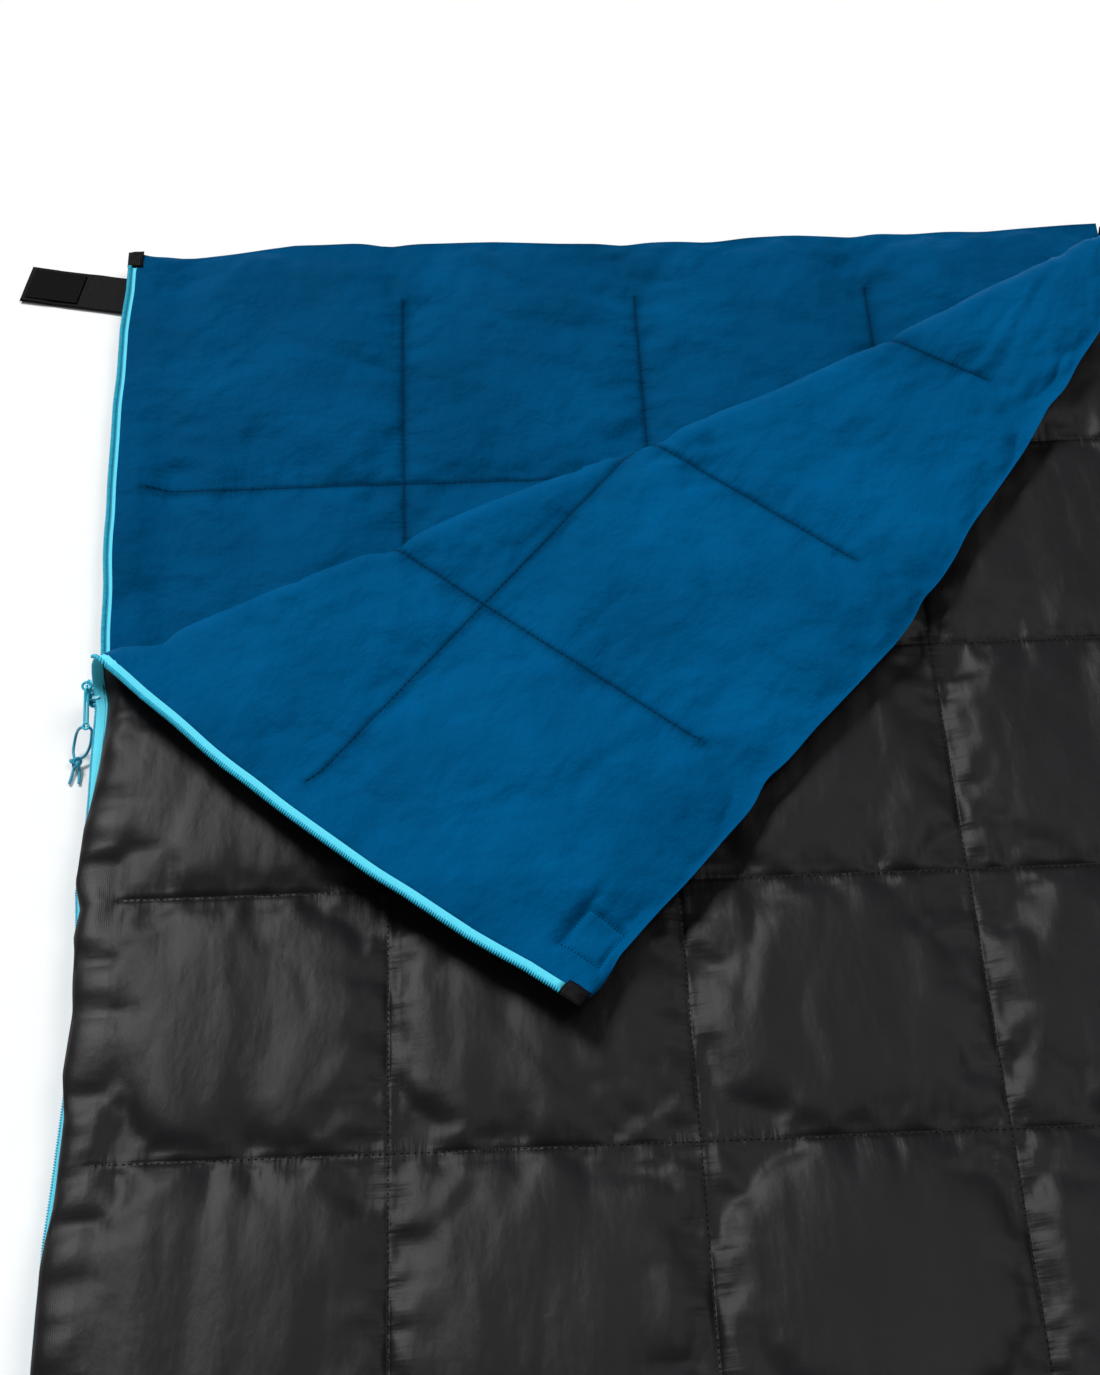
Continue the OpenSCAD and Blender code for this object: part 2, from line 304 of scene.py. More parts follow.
def mesh_object(name, points, faces, plan=None, smooth_shading=True):
    """A mesh piece from points in millimetres. plan keeps each point's place in the flat cloth."""
    mesh = bpy.data.meshes.new(name)
    mesh.from_pydata((np.asarray(points) * MM).tolist(), [], [list(f) for f in faces])
    if plan is not None:
        attach(mesh, "plan", np.asarray(plan) * MM)
    mesh.polygons.foreach_set("use_smooth", [smooth_shading] * len(mesh.polygons))
    mesh.update()
    return new_object(name, mesh)


def as_points(x, y, z):
    """Grids of coordinates as one array of points."""
    return np.stack(np.broadcast_arrays(x, y, z), -1).reshape(-1, 3)


def grid_faces(rows, columns, flip=False):
    i = np.arange(rows * columns).reshape(rows, columns)
    quads = np.stack([i[:-1, :-1], i[:-1, 1:], i[1:, 1:], i[1:, :-1]], -1).reshape(-1, 4)
    return (quads[:, ::-1] if flip else quads).tolist()


def stack_faces(levels, around, base=0):
    """Walls and caps of a solid made of so many rings of points, with so many points around."""
    faces = []
    for low in range(base, base + (levels - 1) * around, around):
        for a in range(around):
            b = (a + 1) % around
            faces.append((low + a, low + b, low + around + b, low + around + a))
    last = base + (levels - 1) * around
    return [*faces, tuple(range(base + around - 1, base - 1, -1)), tuple(range(last, last + around))]


def slab(name, upper, lower, u, v, flip=False):
    """A closed slab between two layers of points over a grid. u and v are its places in the cloth."""
    rows, columns = u.shape
    count = rows * columns
    top = grid_faces(rows, columns, flip)
    under = [tuple(count + i for i in reversed(f)) for f in top]
    i = np.arange(count).reshape(rows, columns)
    rim = list(i[0]) + list(i[1:, -1]) + list(i[-1, -2::-1]) + list(i[-2:0:-1, 0])
    wall = []
    for a, b in zip(rim, rim[1:] + rim[:1]):
        wall.append((a, b, b + count, a + count) if flip else (b, a, a + count, b + count))
    plan = np.tile(as_points(u, v, 0), (2, 1))
    return mesh_object(name, np.concatenate([upper, lower]), top + under + wall, plan)


def pin(sheet, pinned):
    group = sheet.vertex_groups.new(name="pinned")
    group.add(np.nonzero(pinned.ravel())[0].tolist(), 1.0, "REPLACE")


def polyester(cloth, excess, pressure, frames):
    """Sets a cloth modifier to a light polyester cloth, blown up without gravity."""
    settings = cloth.settings
    settings.quality = 4
    settings.mass = 0.3
    settings.tension_stiffness = 20
    settings.compression_stiffness = 12
    settings.shear_stiffness = 8
    settings.bending_stiffness = 0.06
    settings.air_damping = 2
    settings.vertex_group_mass = "pinned"
    settings.shrink_min = -excess
    settings.use_pressure = True
    settings.uniform_pressure_force = pressure
    settings.effector_weights.gravity = 0
    cloth.point_cache.frame_start = 1
    cloth.point_cache.frame_end = frames


def puff(columns, seed, excess, pressure):
    """Blows a flat sheet up between its seams. Returns its grid lines and its height above them."""
    step, frames = 9.5, 22
    us = relief_lines(LEFT, SIDE, columns, step)
    vs = relief_lines(FOOT, HEAD, ROWS, step)
    u, v = np.meshgrid(us, vs)
    start = 0.4 * noise(u / 21, v / 21, seed)
    sheet = mesh_object("puffed_sheet", as_points(u, v, start), grid_faces(len(vs), len(us)))
    on_column = np.isin(u, columns) & (v > SEAM_FOOT) & (v < SEAM_HEAD)
    on_row = row_distance(u, v) < 0.001
    on_edge = (u == us[0]) | (u == us[-1]) | (v == vs[0]) | (v == vs[-1])
    pin(sheet, on_column | on_row | on_edge)
    polyester(sheet.modifiers.new("Cloth", "CLOTH"), excess, pressure, frames)
    scene = bpy.context.scene
    for number in range(1, frames + 1):
        scene.frame_set(number)
    solved = sheet.evaluated_get(bpy.context.evaluated_depsgraph_get()).data
    where = np.zeros(u.size * 3)
    solved.vertices.foreach_get("co", where)
    height = where.reshape(-1, 3)[:, 2].reshape(u.shape) / MM
    scene.frame_set(1)
    bpy.data.objects.remove(sheet)
    return us, vs, height


def relief_lines(low, high, seams, step):
    """Even grid lines that pass through each seam."""
    keep = [low] + sorted(seams) + [high]
    made = [low]
    for a, b in zip(keep, keep[1:]):
        parts = max(1, round((b - a) / step))
        made += list(np.linspace(a, b, parts + 1)[1:])
    return np.array(made)


def sample(field, u, v):
    """The height of a puffed sheet at any place in the plan."""
    us, vs, height = field
    i = np.clip(np.searchsorted(us, u) - 1, 0, len(us) - 2)
    j = np.clip(np.searchsorted(vs, v) - 1, 0, len(vs) - 2)
    fu = np.clip((u - us[i]) / (us[i + 1] - us[i]), 0, 1)
    fv = np.clip((v - vs[j]) / (vs[j + 1] - vs[j]), 0, 1)
    low = height[j, i] * (1 - fu) + height[j, i + 1] * fu
    high = height[j + 1, i] * (1 - fu) + height[j + 1, i + 1] * fu
    return low * (1 - fv) + high * fv


# -------- relief of a quilted sheet


def column_distance(u, v, columns):
    past = np.maximum(0, np.maximum(v - SEAM_HEAD, SEAM_FOOT - v))
    return np.min([np.hypot(u - c, past) for c in columns], axis=0)


def seam_start(row):
    """Cross seams start beside the zip, but the one that meets the crease there starts further in."""
    return SEAM_LEFT + (27 if abs(row - CREASE[1]) < 10 else 0)


def row_distance(u, v):
    nearest = []
    for row in ROWS:
        past = np.maximum(0, np.maximum(seam_start(row) - u, u - SEAM_RIGHT))
        nearest.append(np.hypot(v - row, past))
    return np.min(nearest, axis=0)


def straight_grain(degrees):
    """Across and along places for folds that run in one direction."""
    c, d = math.cos(math.radians(degrees)), math.sin(math.radians(degrees))
    return lambda u, v: (v * c - u * d, u * c + v * d)


def fan_grain(u, v):
    """Across and along places for folds that spread from the pinched end of the crease."""
    du, dv = u - SIDE - 10, v - HEAD + 70
    return 260 * np.arctan2(dv, -du), np.hypot(du, dv)


# The square of stitching that holds the loop patch: its size and its low corner in the plan
PATCH = (31.0, LEFT + 21, HEAD - 39)


def patch_groove(u, v):
    """The stitched square sinks into the flap's lining, and a fold runs on from one side of it."""
    size, low_u, low_v = PATCH
    out = np.maximum(np.abs(u - low_u - size / 2), np.abs(v - low_v - size / 2)) - size / 2
    bend = low_v - 1.5 - 0.035 * np.clip(low_u - u, 0, 30) ** 2
    ends = smooth((u - LEFT - 11) / 12) * smooth((low_u + size + 24 - u) / 16)
    valley = 3.4 * bell(v - bend, 4.5) * ends
    return 2.2 * bell(out, 1.9) + valley


class Sheet:
    """One quilted sheet of the bag: how deep its cloth lies below the crown of the quilt, by place."""

    def __init__(self, columns, seed, excess, pressure, grain, fold_size, folds, gathers):
        self.columns = columns
        self.seed = seed
        self.grain = grain
        self.fold_size = fold_size
        self.folds = folds
        self.gathers = gathers
        self.field = puff(columns, seed, excess, pressure)
        self.crown = np.percentile(self.field[2], 88)

    def puckers(self, u, v):
        """Short gathers that run out from the seams."""
        across_rows = row_distance(u, v)
        across_columns = column_distance(u, v, self.columns)
        row_reach = 11 + 8 * noise(u / 23, 0.1, self.seed + 1)
        column_reach = 10 + 6 * noise(v / 23, 0.4, self.seed + 2)
        rows = noise(u / 8.5 + v / 60, v / 60, self.seed + 3)
        rows = rows + 0.7 * noise(u / 19, v / 90, self.seed + 4)
        columns = noise(v / 8.5 + u / 60, u / 60, self.seed + 5)
        columns = columns + 0.6 * noise(v / 19, u / 90, self.seed + 6)
        beside_rows = rows * np.exp(-across_rows / row_reach)
        return beside_rows + 0.7 * columns * np.exp(-across_columns / column_reach)

    def wrinkles(self, u, v):
        """Soft folds along the sheet's grain, with a few sharp creases between them."""
        across, along_grain = self.grain(u, v)
        wide, long = self.fold_size
        bent = across + 0.35 * wide * noise(u / 70, v / 70, self.seed + 7)
        soft = noise(bent / wide, along_grain / long, self.seed + 8)
        soft = soft + 0.45 * noise(bent / wide * 2.3, along_grain / long * 1.7, self.seed + 9)
        sharp = ridges(bent / wide / 1.6, along_grain / long / 1.2, self.seed + 10)
        return soft - 0.7 * sharp * smooth(noise(u / 90, v / 90, self.seed + 15) * 2)

    def depth(self, u, v):
        seam = np.minimum(row_distance(u, v), column_distance(u, v, self.columns))
        puffed = np.maximum(sample(self.field, u, v) / self.crown, 0)
        raised = SEAM_DEPTH * np.tanh(PLUMP * puffed) / math.tanh(PLUMP)
        fine = self.gathers * self.puckers(u, v) + self.folds * (self.wrinkles(u, v) - 0.8)
        groove = 1.5 * bell(seam, 2.2)
        deep = np.minimum(SEAM_DEPTH - raised - fine * smooth(seam / 6) + groove, DEEPEST)
        return np.where(deep < 1, np.exp(np.minimum(deep, 1) - 1), deep)


# -------- the four quilt faces


HEM_RISE = 1.3
ROLL = 16


def edge_roll(u, v):
    """How far a face has risen from the edge seam, and how much the head edge is the nearest one."""
    zipped = np.minimum(u - LEFT, v - FOOT)
    head = HEAD - v
    return rounded(np.minimum(zipped, head), ROLL), smooth(0.5 + (zipped - head) / 24)


# How far the top panel's side bulges over the closed zip, along the bag
BULGE = (
    (-880, 0), (-800, 12), (60, 12), (100, 8), (160, 9), (190, 14), (290, 14), (312, 9), (335, 13),
    (375, 12), (430, 4), (475, 0),
)


def shell_outline(u, v, x):
    """The top shell bulges over the closed zip."""
    share = np.clip((u - LEFT) / ROLL, 0, 1)
    return x - along(BULGE, v) * np.sin(math.pi * share**0.6)


def hem_outline(reach):
    """The lining's hem lies over part of the zip tape."""

    def outline(u, v, x):
        below_head = smooth((HEAD - 6 - v) / 16)
        return x - reach * np.exp(-np.maximum(u - LEFT, 0) / 20) * below_head

    return outline


def hem_turn(u, v, rise, at_head):
    """The lining turns down sharply over the sewn side of the zip tape, and gently at the head edge."""
    sharp = rounded(np.minimum(u - LEFT, v - FOOT), 1.3)
    return sharp * (1 - at_head) + rise * at_head


def top_shell_z(sheet, u, v):
    rise, at_head = edge_roll(u, v)
    seam_z = LINING_Z + 0.3 + at_head * 6
    return seam_z + (SHELL_Z - sheet.depth(u, v) - seam_z) * rise


def top_lining_z(sheet, u, v):
    rise, at_head = edge_roll(u, v)
    seam_z = LINING_Z + 0.3 + at_head * 6
    fade = smooth(np.minimum(u - LEFT, v - FOOT) / 30 - 0.25)
    face = LINING_Z - HEM_RISE + (sheet.depth(u, v) + HEM_RISE) * fade + patch_groove(u, v)
    return seam_z + (face - seam_z) * hem_turn(u, v, rise, at_head)


def bottom_lining_z(sheet, u, v):
    rise, at_head = edge_roll(u, v)
    seam_z = BOTTOM_TOP - 0.3 - at_head * 8
    fade = smooth(np.minimum(u - LEFT, v - FOOT) / 30 - 0.4)
    face = BOTTOM_TOP + HEM_RISE - (sheet.depth(u, v) + HEM_RISE) * fade
    return seam_z + (face - seam_z) * hem_turn(u, v, rise, at_head)


def bottom_shell_z(sheet, u, v):
    rise, at_head = edge_roll(u, v)
    seam_z = BOTTOM_TOP - 0.3 - at_head * 8
    return seam_z + (0.35 * sheet.depth(u, v) - seam_z) * rise


def quilt_face(name, height, sheet, us, vs, folded, up, outline=None):
    """A face of a quilt as a mesh over grid lines, which keeps how near each point is to a seam."""
    u, v = np.meshgrid(us, vs)
    z = height(sheet, u, v)
    x, y = sway(*round_corner(u, v), folded)
    if outline:
        x = outline(u, v, x)
    if folded:
        x, y, z = fold(x, y, z)
    faces = grid_faces(len(vs), len(us), flip=not up)
    piece = mesh_object(name, as_points(x, y, z), faces, as_points(u, v, 0))
    beside_rows = np.exp(-row_distance(u, v) / 9)
    beside_columns = np.exp(-column_distance(u, v, sheet.columns) / 9)
    attach(piece.data, "beside_seams", as_points(beside_rows, beside_columns, 0))
    return piece


# -------- stitches


STITCH, STITCH_PITCH = 3.5, 4.4
STITCH_R = 0.55
STITCH_FACES = ((0, 1, 2), (0, 2, 3), (4, 2, 1), (4, 3, 2), (0, 3, 4, 1))


class Thread:
    """Stitches in the plan of a cloth: a small raised grain of thread for each one."""

    def __init__(self, sunk, crown):
        self.sunk = sunk
        self.crown = crown
        self.points = []
        self.faces = []

    def stitch(self, start, run, side):
        """One stitch along run, with side as the way to one flank of its middle."""
        start, run, side = np.array(start), np.array(run), np.array(side) * STITCH_R
        mid = start + run / 2
        base = len(self.points)
        places = (start, mid + side, mid, mid - side, start + run)
        for place, rise in zip(places, (self.sunk, 0.1, self.crown, 0.1, self.sunk)):
            self.points.append((*place, rise))
        self.faces += [tuple(base + i for i in face) for face in STITCH_FACES]

    def made(self, name, height, folded, out):
        """The stitches on a cloth of that height. out is 1 on an upper face and -1 on a lower one."""
        places = np.array(self.points)
        u, v = places[:, 0], places[:, 1]
        z = height(u, v) + out * places[:, 2]
        points = as_points(*laid(*round_corner(u, v), z, folded))
        return mesh_object(name, points, self.faces, places, smooth_shading=False)


def stitches(name, height, sheet, columns, folded, out):
    """Thread that shows along the seams."""
    thread = Thread(-0.3, 0.75)
    for c in columns:
        for v in np.arange(SEAM_FOOT, SEAM_HEAD, STITCH_PITCH):
            thread.stitch((c, v), (0, STITCH), (-1, 0))
    for r in ROWS:
        for u in np.arange(seam_start(r), min(SEAM_RIGHT, SIDE - 6), STITCH_PITCH):
            thread.stitch((u, r), (STITCH, 0), (0, 1))
    if out < 0:
        thread.faces = [f[::-1] for f in thread.faces]
    return thread.made(name, lambda u, v: height(sheet, u, v), folded, out)


# -------- side fold


def side_strips(name, half_w, half_h, mid_z, inward):
    """The stretch of one cloth that goes round the right side, from the bottom panel to the top."""
    angles = np.radians(np.linspace(-90, 90, 15))
    steps = np.linspace(0, 1, 330)
    turn, step = np.meshgrid(angles, steps)
    top_end = crease_v(np.array(SIDE))[0]
    up_share = np.clip(turn / (math.pi / 2), 0, 1)
    y_end = HEAD - (HEAD - top_end) * up_share**1.5
    y = FOOT + step * (y_end - FOOT)
    edge = np.minimum(y - FOOT, y_end - y)
    rise = rounded(edge, 16)
    ripple = 1.6 * noise(y / 45, turn * 1.5, 31) + 0.9 * noise(y / 17, turn * 2, 32)
    ripple = ripple * np.cos(turn) * (1 if inward else 1.4)
    x = SIDE + (half_w - 1.5 + ripple * 0.8) * np.cos(turn) * (0.62 + 0.38 * rise)
    z_full = mid_z + half_h * np.sin(turn)
    z_seam = mid_z + 7 * np.sin(turn)
    z = z_seam + (z_full - z_seam) * rise
    faces = grid_faces(*turn.shape, flip=inward)
    return mesh_object(name, as_points(x, y, z), faces, as_points(SIDE + turn * 30, y, 0))


# -------- zip


def zip_line(reach, start, end, step):
    """Points beside the zipped edges at a distance out from the quilt, with the direction outwards.

    The line runs from the head down and along the foot. start and end are distances along it.
    """
    radius = CORNER_R + reach
    straight = HEAD - FOOT - CORNER_R
    arc = math.pi / 2 * CORNER_R
    t = np.arange(start, end, step)
    turn = np.clip((t - straight) / arc, 0, 1) * math.pi / 2
    x = np.where(t < straight, LEFT - reach, LEFT + CORNER_R - radius * np.cos(turn))
    y = np.where(t < straight, HEAD - t, FOOT + CORNER_R - radius * np.sin(turn))
    x = np.where(t > straight + arc, LEFT + CORNER_R + t - straight - arc, x)
    out_x, out_y = -np.cos(turn), -np.sin(turn)
    return t, x, y, out_x, out_y


ZIP_LENGTH = HEAD - FOOT + (math.pi / 2 - 2) * CORNER_R + ZIP_END_X - LEFT


def ribbon(name, start, end, low, high, folded):
    """A zip tape with a rounded selvedge, sewn along the edge of a quilt."""
    section = [
        (-TAPE_SEWN, low + 0.1), (-TAPE_SEWN, high - 0.1), (-TAPE_SEWN + 0.5, high),
        (-3.4, high), (-3.0, high - 0.28), (-2.6, high), (0, high), (2.5, high), (5, high),
        (TAPE_REACH - 0.4, high), (TAPE_REACH, (low + high) / 2), (TAPE_REACH - 0.4, low),
        (2, low), (-3, low),
    ]
    rings = []
    for reach, z in section:
        t, x, y, _, _ = zip_line(reach, start, end, TAPE_STEP)
        rings.append(np.stack(laid(x, y, z + 0 * x, folded), -1))
    points = np.stack(rings, 1)
    count, around = points.shape[:2]
    i = np.arange(count * around).reshape(count, around)
    follow = np.roll(i, -1, axis=1)
    quads = np.stack([i[:-1], follow[:-1], follow[1:], i[1:]], -1).reshape(-1, 4).tolist()
    quads += [list(i[0][::-1]), list(i[-1])]
    plan = as_points(t[:, None], np.array([reach for reach, _ in section]), 0)
    return mesh_object(name, points.reshape(-1, 3), quads, plan)


def coil(name, start, end, low, high, folded, gap=None):
    """The teeth of a zip coil: rounded bars across the tape's edge, one for each turn of the coil."""
    inner, outer, half = ZIP_REACH - 3.4, ZIP_REACH, 0.62
    mid = (low + high) / 2
    rise = (high - low) / 2 - 0.15
    t, x, y, out_x, out_y = zip_line(0, start, end, COIL_PITCH)
    if gap:
        keep = (t < gap[0]) | (t > gap[1])
        t, x, y, out_x, out_y = (part[keep] for part in (t, x, y, out_x, out_y))
    ring = ((1, 0), (0.5, 1), (-0.5, 1), (-1, 0), (-0.5, -1), (0.5, -1))
    stations = ((inner, 0.55), (inner + 0.7, 1), (outer - 0.8, 1), (outer, 0.45))
    points, faces = [], []
    for k in range(len(t)):
        base = len(points)
        along = (-out_y[k], out_x[k])
        for reach, size in stations:
            for a, b in ring:
                shift = a * half * size
                px = x[k] + out_x[k] * reach + along[0] * shift
                py = y[k] + out_y[k] * reach + along[1] * shift
                points.append((px, py, mid + b * rise * size))
        faces += stack_faces(len(stations), len(ring), base)
    places = np.array(points)
    return mesh_object(name, as_points(*laid(*places.T, folded)), faces, places)


def end_tab(name, low, high, folded):
    """The folded cloth that covers the head end of a tape."""
    us = np.linspace(LEFT - ZIP_REACH - 0.5, LEFT + 2.5, 9)
    vs = np.linspace(HEAD - TAB_L, HEAD, 9)
    u, v = np.meshgrid(us, vs)
    edge = np.minimum(np.minimum(u - us[0], us[-1] - u), np.minimum(v - vs[0], vs[-1] - v))
    rise = rounded(edge, 2.5)
    mid = (low + high) / 2
    crumple = 0.9 * noise(u / 4, v / 4, 51)
    layers = []
    for end in (high, low):
        z = mid + (end - mid) * (0.25 + 0.75 * rise) + crumple
        layers.append(as_points(*laid(u, v, z, folded)))
    return slab(name, *layers, u, v)


# -------- materials


class Nodes:
    """Short ways to build a material's nodes."""

    def __init__(self, name):
        self.material = bpy.data.materials.new(name)
        self.material.use_nodes = True
        self.tree = self.material.node_tree
        self.shader = self.tree.nodes["Principled BSDF"]

    def add(self, kind, **inputs):
        node = self.tree.nodes.new(kind)
        for key, value in inputs.items():
            self.put(node, key.replace("_", " "), value)
        return node

    def put(self, node, key, value):
        socket = node.inputs[key]
        if isinstance(value, bpy.types.NodeSocket):
            self.tree.links.new(value, socket)
        else:
            socket.default_value = value

    def attribute(self, name):
        source = self.add("ShaderNodeAttribute")
        source.attribute_name = name
        return source.outputs["Vector"]

    def plan(self, scale=(1, 1, 1)):
        """Place in the flat cloth, in metres times scale."""
        spread = self.add("ShaderNodeMapping", Vector=self.attribute("plan"), Scale=scale)
        return spread.outputs["Vector"]

    def solid(self):
        """Place in the piece, in metres, for pieces that weren't cut from flat cloth."""
        return self.add("ShaderNodeTexCoord").outputs["Object"]

    def place(self, scale=(1, 1, 1)):
        """Place in the piece, in metres times scale."""
        return self.add("ShaderNodeMapping", Vector=self.solid(), Scale=scale).outputs["Vector"]

    def noise(self, vector, scale, detail=2.0, roughness=0.5):
        made = self.add("ShaderNodeTexNoise", Vector=vector, Scale=scale)
        self.put(made, "Detail", detail)
        self.put(made, "Roughness", roughness)
        return made.outputs["Fac"]

    def cloud(self, across, along, detail=2.0, roughness=0.5):
        """Noise in the flat cloth, with so many features in a metre each way."""
        return self.noise(self.plan((across, along, 1)), 1.0, detail, roughness)

    def math(self, operation, a, b):
        made = self.tree.nodes.new("ShaderNodeMath")
        made.operation = operation
        self.put(made, 0, a)
        self.put(made, 1, b)
        return made.outputs[0]

    def shades(self, fac, dark, light, places=(0.3, 0.7)):
        """A colour between two, which stand at two places on a scale from 0 to 1."""
        made = self.add("ShaderNodeValToRGB", Fac=fac)
        for element, place, colour in zip(made.color_ramp.elements, places, (dark, light)):
            element.position = place
            element.color = (*colour, 1)
        return made.outputs["Color"]

    def weave(self, vector, pitch):
        """Over-and-under threads at a pitch in metres, as a height from 0 to 1."""
        heights = []
        for direction in ("X", "Y"):
            wave = self.add("ShaderNodeTexWave", Vector=vector, Scale=math.pi / 10 / pitch)
            wave.bands_direction = direction
            heights.append(wave.outputs["Fac"])
        return self.math("MULTIPLY", self.math("ADD", *heights), 0.5)

    def beside_seams(self):
        """How near a point is to a cross seam and to a lengthways seam, from 0 to 1."""
        near = self.attribute("beside_seams")
        return self.add("ShaderNodeSeparateXYZ", Vector=near).outputs

    def painted_seam_shade(self, colour, depth):
        """Painted shade: darkens the cloth's colour in the grooves of its seams, where shade falls."""
        beside = self.beside_seams()
        nearest = self.math("MAXIMUM", beside[0], beside[1])
        dark = self.math("MULTIPLY", self.math("POWER", nearest, 3.0), depth)
        mixed = self.add("ShaderNodeVectorMath", Vector=colour)
        mixed.operation = "SCALE"
        self.put(mixed, "Scale", self.math("SUBTRACT", 1.0, dark))
        return mixed.outputs["Vector"]

    def gathers(self, distance, under):
        """Fine gathers that run out from the seams, as a bump."""
        beside = self.beside_seams()
        rows = self.math("MULTIPLY", self.cloud(150, 20), beside[0])
        columns = self.math("MULTIPLY", self.cloud(20, 150), beside[1])
        return self.bump(self.math("ADD", rows, columns), distance, 1.0, under)

    def bump(self, height, distance, strength=1.0, under=None):
        made = self.add("ShaderNodeBump", Height=height, Distance=distance, Strength=strength)
        if under is not None:
            self.put(made, "Normal", under)
        return made.outputs["Normal"]

    def finish(self, **sockets):
        for key, value in sockets.items():
            self.put(self.shader, key.replace("_", " "), value)
        return self.material


# Painted shade: how much of a cloth's colour is taken away at the bottom of a seam's groove
PAINTED_SEAM_SHADE = 0.6


def shell_cloth():
    """Charcoal satin polyester: a tight weave, lustrous along the bag, crumpled beside the seams."""
    n = Nodes("shell")
    plan = n.plan()
    patches = n.cloud(13, 8, 4.0, 0.6)
    colour = n.shades(patches, (0.0078, 0.0070, 0.0080), (0.0118, 0.0106, 0.0120))
    rough = n.math("ADD", n.math("MULTIPLY", n.cloud(60, 8, 3.0), 0.12), 0.32)
    folds = n.bump(n.cloud(30, 11, 3.0, 0.4), 0.005, 0.5)
    crumple = n.bump(n.cloud(95, 60, 4.0, 0.55), 0.0012, 0.35, folds)
    weave = n.bump(n.weave(plan, 0.0006), 0.00012, 0.4, n.gathers(0.0013, crumple))
    return n.finish(
        # the base colour carries painted shade along the seams
        Base_Color=n.painted_seam_shade(colour, PAINTED_SEAM_SHADE),
        Roughness=rough,
        Normal=weave,
        Specular_IOR_Level=0.13,
    )


def lining_cloth(name, painted_lighting):
    """Petrol blue brushed polyester: soft, with a fine grain and broad soft creases."""
    n = Nodes(name)
    plan = n.plan()
    patches = n.math("MULTIPLY", n.cloud(9, 9, 4.0, 0.55), 0.75)
    grain = n.math("MULTIPLY", n.noise(plan, 900.0, 1.0), 0.25)
    # painted light and shade: both ends of the ramp are scaled, so copies of the one cloth come out
    # lighter or darker
    dark, pale = (0.0, 0.050 * painted_lighting, 0.135 * painted_lighting), (0.0, 0.082 * painted_lighting, 0.219 * painted_lighting)
    colour = n.shades(n.math("ADD", patches, grain), dark, pale)
    folds = n.bump(n.cloud(15, 15, 2.0, 0.4), 0.016, 0.8)
    crumple = n.bump(n.cloud(45, 45, 4.0, 0.5), 0.0062, 0.7, folds)
    weave = n.bump(n.weave(plan, 0.0007), 0.00014, 0.5, n.gathers(0.0022, crumple))
    return n.finish(
        # the base colour carries painted shade along the seams
        Base_Color=n.painted_seam_shade(colour, PAINTED_SEAM_SHADE),
        Roughness=0.55,
        Normal=weave,
        Specular_IOR_Level=0.015,
        Specular_Tint=(0.05, 0.7, 1.0, 1.0),
    )


def zip_tape_cloth():
    """Cyan woven tape with a fine grain and a plain weave of threads."""
    n = Nodes("zip_tape")
    plan = n.plan()
    grain = n.noise(plan, 1400.0, 1.0)
    colour = n.shades(grain, (0.040, 0.58, 0.78), (0.095, 0.76, 0.93), (0.25, 0.75))
    weave = n.bump(n.weave(plan, 0.0009), 0.0002, 0.8)
    return n.finish(Base_Color=colour, Roughness=0.6, Normal=weave, Sheen_Weight=0.2)


def coil_plastic():
    n = Nodes("zip_coil")
    tint = n.noise(n.plan(), 260.0, 1.0)
    colour = n.shades(tint, (0.014, 0.42, 0.60), (0.026, 0.58, 0.78))
    scuff = n.bump(n.noise(n.plan(), 1500.0, 2.0), 0.00005, 0.4)
    return n.finish(Base_Color=colour, Roughness=0.33, Normal=scuff)


def enamel():
    n = Nodes("slider_enamel")
    tint = n.noise(n.plan(), 300.0, 3.0)
    colour = n.shades(tint, (0.012, 0.46, 0.64), (0.022, 0.56, 0.74))
    rough = n.math("ADD", n.math("MULTIPLY", tint, 0.2), 0.2)
    flow = n.bump(n.noise(n.plan(), 700.0, 2.0), 0.00006, 0.5)
    return n.finish(Base_Color=colour, Roughness=rough, Normal=flow, Coat_Weight=0.4)


def stop_metal():
    n = Nodes("stop_metal")
    brushed = n.noise(n.place((900, 60, 900)), 1.0, 2.0)
    rough = n.math("ADD", n.math("MULTIPLY", brushed, 0.2), 0.25)
    scratches = n.bump(brushed, 0.00004)
    grey = (0.62, 0.62, 0.64, 1)
    return n.finish(Base_Color=grey, Metallic=1.0, Roughness=rough, Normal=scratches)


def thread(name, dark, light):
    n = Nodes(name)
    twist = n.noise(n.plan(), 1200.0, 1.0)
    return n.finish(
        Base_Color=n.shades(twist, dark, light),
        Roughness=0.7,
        Normal=n.bump(twist, 0.0001, 0.6),
        Specular_IOR_Level=0.1,
    )


def cord_braid():
    """Braided cord: crossing strands along its length."""
    n = Nodes("cord")
    strands = n.noise(n.solid(), 1500.0, 1.0)
    colour = n.shades(strands, (0.006, 0.22, 0.34), (0.012, 0.38, 0.54))
    return n.finish(
        Base_Color=colour, Roughness=0.55, Normal=n.bump(strands, 0.0003, 0.8), Sheen_Weight=0.2
    )


def webbing():
    """Black nylon webbing with ribs across it."""
    n = Nodes("webbing")
    ribs = n.weave(n.plan(), 0.0016)
    fibre = n.cloud(500, 90)
    colour = n.shades(fibre, (0.0028, 0.0026, 0.0031), (0.0062, 0.0058, 0.0068))
    soft = n.bump(n.cloud(120, 120, 3.0), 0.0012, 0.3)
    ribbed = n.bump(ribs, 0.0003, 0.8, soft)
    return n.finish(Base_Color=colour, Roughness=0.5, Normal=ribbed, Specular_IOR_Level=0.05)


def pile(name, scale, depth):
    """Dark hook or loop tape."""
    n = Nodes(name)
    cells = n.add("ShaderNodeTexVoronoi", Vector=n.place(), Scale=scale).outputs["Distance"]
    near, far = (0.0068, 0.0064, 0.0074), (0.0030, 0.0028, 0.0033)
    colour = n.shades(cells, near, far, (0.1, 0.8))
    return n.finish(
        Base_Color=colour, Roughness=0.75, Normal=n.bump(cells, depth, 1.0), Specular_IOR_Level=0.05
    )


